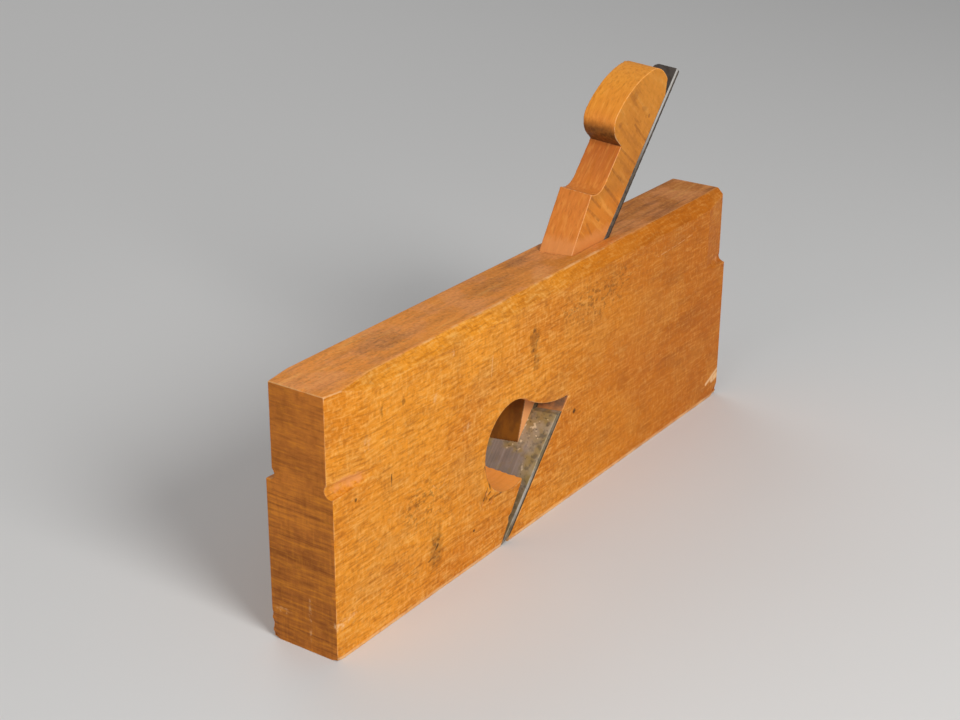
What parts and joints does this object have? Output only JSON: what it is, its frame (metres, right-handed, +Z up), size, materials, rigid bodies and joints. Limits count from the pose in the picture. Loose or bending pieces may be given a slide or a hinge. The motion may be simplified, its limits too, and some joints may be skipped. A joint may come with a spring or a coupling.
{
  "type": "rebate plane",
  "caption": "Wooden rebate plane: slim beech stock with chamfered ends, skewed full-width iron with a narrow tang, and a wedge with a rounded head.",
  "frame": {"origin": "middle of the sole", "axes": "+X from toe to heel, -Y to the left-hand side where the shavings come out, +Z up"},
  "size_m": [0.2414, 0.0254, 0.1418],
  "materials": {
    "stock_beech": "oiled beech, worn",
    "iron_steel": "old forged steel, patinated",
    "wedge_beech": "oiled beech, worn"
  },
  "bodies": {
    "stock": {"stock": "stock_beech"},
    "iron": {"iron": "iron_steel"},
    "wedge": {"wedge": "wedge_beech"}
  },
  "joints": [
    {"name": "iron_set", "type": "slide", "parent": "stock", "child": "iron", "axis": [0.6756, 0, 0.7373], "range_m": [-0.002, 0.006]},
    {"name": "wedge_lift", "type": "slide", "parent": "stock", "child": "wedge", "axis": [0.6756, 0, 0.7373], "range_m": [0, 0.09]}
  ]
}
